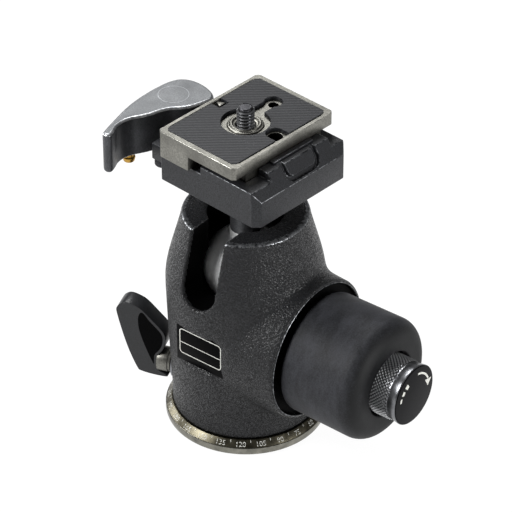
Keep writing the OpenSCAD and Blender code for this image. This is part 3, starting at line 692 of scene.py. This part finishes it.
def rubber_sleeve():
    """Rubber sleeve with a rounded shoulder and a rolled lip round the dial."""
    lo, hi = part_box("knob_rubber")
    x0, x1 = lo.x / MM, hi.x / MM
    profile = [(21.0, x0), (22.0, x0 + 0.1), (22.6, x0 + 0.5), (22.85, x0 + 1.3), (23.1, x1 - 7.0)]
    profile += arc(16.6, x1 - 6.5, 6.5, 4, 90, 14)
    rolled_lip = arc(13.0, x1 - 0.75, 0.65, 80, 170, 5)
    profile += [(15.0, x1 - 0.05)] + rolled_lip + [(12.35, x1 - 3), (20.2, x1 - 6.6)]
    obj = revolved("knob_sleeve", profile, 144, TO_X)
    finish_piece(obj, "locking_knob", RUBBER, ("knob_rubber",), 50)


rubber_sleeve()


def knurl_tree():
    """Staggered rows of low four-sided points on a cylinder lying along X."""
    tree, given, names = geometry_tree("knurled points", {
        "Around": "NodeSocketInt", "Rows": "NodeSocketInt", "Radius": "NodeSocketFloat",
        "First row": "NodeSocketFloat", "Row step": "NodeSocketFloat", "Axis height": "NodeSocketFloat",
        "Point size": "NodeSocketFloat", "Point top": "NodeSocketFloat", "Point height": "NodeSocketFloat"})
    total = add_node(tree, "ShaderNodeMath", {0: given["Around"], 1: given["Rows"]}, operation="MULTIPLY")
    index = add_node(tree, "GeometryNodeInputIndex").outputs[0]
    part = add_node(tree, "ShaderNodeMath", {0: index, 1: given["Around"]}, operation="DIVIDE")
    row = add_node(tree, "ShaderNodeMath", {0: part.outputs[0]}, operation="FLOOR").outputs[0]
    odd = add_node(tree, "ShaderNodeMath", {0: row}, operation="MODULO", i_1=2.0)
    half = add_node(tree, "ShaderNodeMath", {0: odd.outputs[0]}, operation="MULTIPLY", i_1=0.5)
    place = add_node(tree, "ShaderNodeMath", {0: index, 1: half.outputs[0]}, operation="ADD")
    step = add_node(tree, "ShaderNodeMath", {1: given["Around"]}, operation="DIVIDE", i_0=2 * math.pi)
    angle = add_node(tree, "ShaderNodeMath", {0: place.outputs[0], 1: step.outputs[0]},
                     operation="MULTIPLY").outputs[0]
    cos = add_node(tree, "ShaderNodeMath", {0: angle}, operation="COSINE")
    sin = add_node(tree, "ShaderNodeMath", {0: angle}, operation="SINE")
    x = add_node(tree, "ShaderNodeMath", {0: row, 1: given["Row step"], 2: given["First row"]},
                 operation="MULTIPLY_ADD")
    y = add_node(tree, "ShaderNodeMath", {0: cos.outputs[0], 1: given["Radius"]}, operation="MULTIPLY")
    z = add_node(tree, "ShaderNodeMath", {0: sin.outputs[0], 1: given["Radius"], 2: given["Axis height"]},
                 operation="MULTIPLY_ADD")
    where = add_node(tree, "ShaderNodeCombineXYZ", {0: x.outputs[0], 1: y.outputs[0], 2: z.outputs[0]})
    point = add_node(tree, "GeometryNodeMeshCone",
                     {"Radius Top": given["Point top"], "Radius Bottom": given["Point size"],
                      "Depth": given["Point height"]}, i_Vertices=4)
    # each point is turned from +Z towards its own outward direction
    lean = add_node(tree, "ShaderNodeMath", {0: angle}, operation="SUBTRACT", i_1=math.pi / 2)
    turned = add_node(tree, "ShaderNodeCombineXYZ", {0: lean.outputs[0]})
    set_out(tree, total.outputs[0], where.outputs[0], point.outputs[0], turned.outputs[0], given["Finish"])
    return tree, names


KNURL_ROW = 0.72            # from one row of points to the next


def friction_dial():
    """Knurled dial with a plain bright band, and its black cap with a curved arrow."""
    lo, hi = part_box("friction_knob")
    x0, x1 = lo.x / MM, hi.x / MM
    profile = [(2.4, x0), (10.5, x0), (10.75, x0 + 0.3), (10.75, x1 - 4.0), (10.95, x1 - 3.8),
               (11.3, x1 - 1.4), (11.42, x1 - 0.7), (11.42, x1 - 0.3), (11.32, x1 - 0.08), (11.2, x1 - 0.2),
               (11.2, x1 - 0.9), (2.4, x1 - 0.9)]
    dial = revolved("dial_body", profile, 120, TO_X)
    finish_piece(dial, "friction_dial", DIAL_METAL, ("friction_knob",), 40)
    knurl = made_by_tree("dial_knurl", *knurl_tree(), {
        "Around": 48, "Rows": int((x1 - 4.2 - x0 - 0.6) / KNURL_ROW), "Radius": 10.80 * MM,
        "First row": (x0 + 0.8) * MM, "Row step": KNURL_ROW * MM, "Axis height": KNOB_AXIS_Z * MM,
        "Point size": 0.78 * MM, "Point top": 0.06 * MM, "Point height": 0.66 * MM, "Finish": KNURL_METAL})
    finish_piece(knurl, "friction_dial", None, (), 10)
    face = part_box("friction_cap")[1].x / MM
    cap = revolved("dial_cap", [(0.0, face - 1.1), (11.15, face - 1.1), (11.15, face - 0.4),
                                (11.0, face - 0.14), (10.6, face - 0.05), (0.0, face - 0.04)], 96, TO_X)
    finish_piece(cap, "friction_dial", CAP_PLASTIC, ("friction_cap",), 40)
    # a curved arrow at the cap's upper right and three rising marks at its upper left
    verts, faces = [], []

    def lay(points):
        """One printed face, its points given from the cap's middle."""
        start = len(verts)
        verts.extend((face - INK_PROUD, y, KNOB_AXIS_Z + z) for y, z in points)
        faces.append(tuple(range(start, start + len(points))))

    def band(a0, a1, r0, r1, steps):
        """A printed band between two angles and two radii."""
        for i in range(steps):
            b0, b1 = (a0 + (a1 - a0) * k / steps for k in (i, i + 1))
            lay([arc(0, 0, r, b, b, 1)[0] for r, b in ((r0, b0), (r1, b0), (r1, b1), (r0, b1))])

    band(78, 20, 8.05, 8.8, 16)
    lay([(9.9, 2.4), (7.9, -0.4), (6.2, 3.1), (7.9, 2.5)])
    for middle, tall in ((166, 0.9), (146, 1.4), (126, 1.9)):
        band(middle - 6, middle + 6, 8.6 - tall, 8.6, 4)
    finish_piece(mesh_object("dial_print", verts, faces), "friction_dial", INK)


friction_dial()


# ---------------------------------------------------------------- pan lock wing

def bevelled_outline(name, outline, depth, place, width, finish, edge=None):
    """An outline given a thickness along Z, its edges rounded, in their own finish if they have one."""
    n = len(outline)
    verts = [(x, y, 0) for x, y in outline] + [(x, y, depth) for x, y in outline]
    faces = [tuple(range(n - 1, -1, -1)), tuple(range(n, 2 * n))]
    faces += [(i, (i + 1) % n, n + (i + 1) % n, n + i) for i in range(n)]
    obj = mesh_object(name, verts, faces, place)
    obj.data.materials.append(finish)
    bevel = obj.modifiers.new("edges", "BEVEL")
    bevel.width, bevel.segments = width * MM, 4
    bevel.limit_method, bevel.angle_limit = "ANGLE", math.radians(40)
    if edge is not None:
        obj.data.materials.append(edge)
        bevel.material = 1
    return baked(obj)


def smooth_loop(points, per=4):
    """A closed smooth curve through the points, with so many steps from each to the next."""
    n = len(points)
    out = []
    for i in range(n):
        p = [Vector((*points[(i + k) % n], 0)) for k in (-1, 0, 1, 2)]
        for s in range(per):
            t = s / per
            q = 0.5 * ((2 * p[1]) + (p[2] - p[0]) * t + (2 * p[0] - 5 * p[1] + 4 * p[2] - p[3]) * t * t
                       + (3 * p[1] - p[0] - 3 * p[2] + p[3]) * t * t * t)
            out.append((q.x, q.y))
    return out


def pan_moulding(name, outline, thick, eased, finish, replaces=()):
    """A smooth outline standing through the pan lock's axis, its thickness centred on it."""
    stand = ON_PAN @ Matrix.Translation((0, thick / 2 * MM, 0)) @ Matrix.Rotation(math.radians(90), 4, "X")
    piece = bevelled_outline(name, smooth_loop(outline), thick, stand, eased, finish)
    finish_piece(piece, "pan_lock", None, replaces, 40)


WING_THICK, WEB_PROUD = 7.0, 0.04
WING = [(29.6, 8.4), (34, 8.15), (39.6, 8.7), (41.6, 10.4), (45.4, 20), (48.8, 33), (48.7, 36.2),
        (46.8, 38.4), (44.5, 39.0), (41, 38.0), (38.6, 36.5), (35.4, 33.3), (31.8, 29.6), (30.4, 27.4),
        (30.05, 25), (30.5, 22), (31.6, 19.6), (33.5, 17.0), (33.6, 13.5), (33.0, 10.6), (30.6, 9.5)]
# painted shade: the wing's cored-out middle on both sides, drawn as a black panel just proud of it
WEB_SHADE = [(38.9, 35.7), (40.5, 33.4), (40.4, 28.5), (39.1, 23.5), (37.3, 18.6), (35.6, 14.6), (34.75, 13.2),
       (34.5, 17.2), (32.6, 20), (31.5, 22.4), (31.1, 25), (31.5, 27.1), (32.7, 28.9), (36, 32.3)]
pan_moulding("pan_wing_moulding", WING, WING_THICK, 0.9, WING_PLASTIC, ("pan_wing",))
pan_moulding("pan_wing_web_shade", WEB_SHADE, WING_THICK + 2 * WEB_PROUD, 0.03, SHADE_BLACK)


# ---------------------------------------------------------------- clamp lever

LEVER = [(-26.5, 10.6), (-28.5, 13.4), (-32.5, 15), (-37.4, 15.5), (-41.6, 14.6), (-44.6, 12.2),
         (-46.1, 8.4), (-46.6, 3), (-46.5, -3), (-45.9, -9), (-44.7, -15), (-42.6, -22), (-40.4, -28.6),
         (-39.2, -31.2), (-37.2, -31.8), (-35.9, -30.6), (-36.6, -28.2), (-38.2, -25), (-38.8, -21.5),
         (-38.2, -18), (-36.7, -15), (-35.2, -11.6), (-34.2, -7.6), (-32.8, -4.2), (-30.4, -1.4),
         (-28.5, 1.6), (-27.3, 5.2)]
BADGE_R, BADGE_LINE = 5.4, 0.25
BADGE_SHIFT = (1.6, 5.2)    # from the solid badge to where the ring shows on the lever's top
lever_lo, lever_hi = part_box("clamp_lever")
lever = bevelled_outline("clamp_lever_casting", smooth_loop(LEVER), (lever_hi.z - lever_lo.z) / MM,
                         ON_CLAMP @ Matrix.Translation((0, 0, lever_lo.z)), 1.1, LEVER_METAL, LEVER_EDGE)
# the lever's upright sides take the darker copy of its finish, as painted shade
lever.data.materials.append(LEVER_SIDE_SHADE)
for face in lever.data.polygons:
    if abs(face.normal.z) < 0.25:
        face.material_index = 2
finish_piece(lever, "lever", None, ("clamp_lever",), 40)
badge_lo, badge_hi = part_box("lever_badge")
badge_mid = (badge_lo + badge_hi) / 2
badge_ring = revolved("lever_badge_ring", [(BADGE_R, -0.02), (BADGE_R + BADGE_LINE, -0.02),
                                           (BADGE_R + BADGE_LINE - 0.02, 0.03), (BADGE_R + 0.02, 0.03)], 72,
                      Matrix.Translation((badge_mid.x + BADGE_SHIFT[0] * MM,
                                          badge_mid.y + BADGE_SHIFT[1] * MM, lever_hi.z)))
finish_piece(badge_ring, "lever", BADGE_METAL, (), 30)


# ---------------------------------------------------------------- camera screw

CREST_R, PITCH = 3.175, 1.27        # a 1/4 inch thread, 20 to the inch
CORE_R = CREST_R - 0.5332 * PITCH
TIP_DOWN = 0.8                      # how much lower the tip stands than the solid's
THREAD_STEPS = 36                   # steps in one turn of the thread


def screw_thread(name, z0, z1):
    """A helical thread between two heights, which runs out at both ends."""
    tooth = [(0, -0.5), (1, -0.1), (1, 0.1), (0, 0.5)]      # share of the depth, share of the pitch
    steps = int((z1 - z0) / PITCH * THREAD_STEPS)
    verts, faces = [], []
    for i in range(steps + 1):
        a = 2 * math.pi * i / THREAD_STEPS
        z = z0 + PITCH * i / THREAD_STEPS
        fade = min(1.0, (steps - i) / THREAD_STEPS * 3, i / THREAD_STEPS * 2)
        for depth, along in tooth:
            r = CORE_R + (CREST_R - CORE_R) * depth * fade
            verts.append((r * math.cos(a), r * math.sin(a), z + along * PITCH))
    for i in range(steps):
        for k in range(3):
            a, b = i * 4 + k, (i + 1) * 4 + k
            faces.append((a, b, b + 1, a + 1))
    return mesh_object(name, verts, faces)


screw_lo, screw_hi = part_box("camera_screw")
tip, head = screw_hi.z / MM - TIP_DOWN, screw_lo.z / MM
thread = screw_thread("camera_screw_thread", head + 7.6, tip - 0.6)
finish_piece(thread, "screw", THREAD_METAL, (), 30)
shank = revolved("camera_screw_shank", [
    (0, head), (8.3, head), (8.5, head + 0.2), (8.5, head + 2.3), (8.2, head + 2.6), (CORE_R, head + 2.6),
    (CORE_R + 0.02, tip - 1.0), (CORE_R - 0.1, tip - 0.35), (CORE_R - 0.5, tip), (0, tip)], 64)
finish_piece(shank, "screw", SCREW_STEEL, ("camera_screw",), 35)


# ---------------------------------------------------------------- the other parts keep their CAD shape

# each node's eased edge in millimetres, finish, slot and, if it has one, the finish of its edges
KEPT = {
    "clamp_body": (0.6, CLAMP_PAINT, "clamp_paint", CLAMP_EDGE),
    "rail_bar": (0.2, CLAMP_PAINT, "clamp_paint", CLAMP_EDGE),
    "quick_plate": (0.5, PLATE_METAL, "plate_metal", PLATE_EDGE),
    "plate_arrow": (0.15, PLATE_METAL, "plate_metal"), "plate_pad": (0.12, PAD_RUBBER, "pad_rubber"),
    "screw_retainer": (0.3, PLATE_METAL, "steel"), "screw_ring": (0.3, PLATE_METAL, "steel"),
    "lever_stop": (0.3, RUBBER, "rubber"), "lever_bush": (0.3, BRASS, "brass"),
    "lever_pin": (0.3, STEEL, "steel"), "safety_pin": (0.3, BRASS, "brass"),
    "lever_badge": (0.1, LEVER_METAL, "lever_metal"), "ball": (0.3, BALL_METAL, "ball_metal"),
    "stem_collar": (0.4, BLACK_METAL, "base_metal"), "base_plate": (0.3, BLACK_METAL, "base_metal"),
    # the boss's ring is painted shade black, so that the gap round the knob reads deep
    "boss_ring": (0.15, SHADE_BLACK, "cap_black"), "pan_collar": (0.7, PLATE_METAL, "steel"),
    "pan_bush": (0.2, STEEL_X, "steel"), "knob_core": (0.3, CAP_PLASTIC, "wing_plastic"),
}
for node, finish in KEPT.items():
    eased_copy(node + "_part", node, *finish)

# the ball's stem, above its polished part, is rougher and painted darker as shade
ball = bpy.data.objects["ball_part"].data
ball.materials.append(STEM_SHADE_METAL)
for face in ball.polygons:
    if face.center.z > BALL_TOP_Z * MM:
        face.material_index = 1

# painted shade: the plate's two small hollows are black inside
HOLLOWS = ((-1.7, 16, 1.9), (12.6, 1.6, 2.75))      # middle and radius, along the clamp's own directions
HOLLOW_TOP_Z = 123.1
straight = ON_CLAMP.inverted()
plate = bpy.data.objects["quick_plate_part"].data
plate.materials.append(SHADE_BLACK)
for face in plate.polygons:
    x, y, z = (c / MM for c in straight @ face.center)
    if z < HOLLOW_TOP_Z and any(math.hypot(x - cx, y - cy) < r for cx, cy, r in HOLLOWS):
        face.material_index = 2

# the pad's two ends are spread over the plate's end rims
PAD_END = 2.4               # points this near an end belong to it
pad = bpy.data.objects["plate_pad_part"].data
along = [(straight @ v.co).y for v in pad.vertices]
for v in pad.vertices:
    p = straight @ v.co
    p.y += PAD_OVER * MM * ((p.y > max(along) - PAD_END * MM) - (p.y < min(along) + PAD_END * MM))
    v.co = ON_CLAMP @ p

# painted shade: a black sheet laid in the pad's opening, in which the plate's arrow stands
ARROW_RECESS_SHADE = ((-19.6, 0.4), (-12.8, 0.4), (-12.8, 4.8), (-19.6, 4.8))
recess_shade = mesh_object("arrow_recess_shade", [(x, y, z) for z in (123.2, 123.25) for x, y in ARROW_RECESS_SHADE],
                     [(3, 2, 1, 0), (4, 5, 6, 7), (0, 1, 5, 4), (1, 2, 6, 5), (2, 3, 7, 6), (3, 0, 4, 7)],
                     ON_CLAMP)
finish_piece(recess_shade, "plate", SHADE_BLACK)

# a thin lip inside the rim of the knob's boss
lip = revolved("boss_lip", [(25.35, 31.6), (25.45, 32.45), (25.65, 32.62), (25.85, 32.5), (25.85, 31.6)],
               160, TO_X)
finish_piece(lip, "housing", CLAMP_EDGE, (), 50)

# pieces that are hidden inside keep the solid's own mesh
PLAIN = {
    "tripod_bush": BRASS, "pan_washer": STEEL, "pan_washer_screws": STEEL, "seat_ring": SEAT_POLYMER,
    "knob_bush": BRASS, "ball_cup": SEAT_POLYMER, "lock_piston": STEEL_X, "piston_seal": RUBBER,
    "lock_spindle": STEEL_X, "friction_spindle": STEEL_X, "pan_spindle": BLACK_METAL, "clamp_screw": STEEL,
}
for node, material in PLAIN.items():
    nodes[node].data.materials.clear()
    nodes[node].data.materials.append(material)
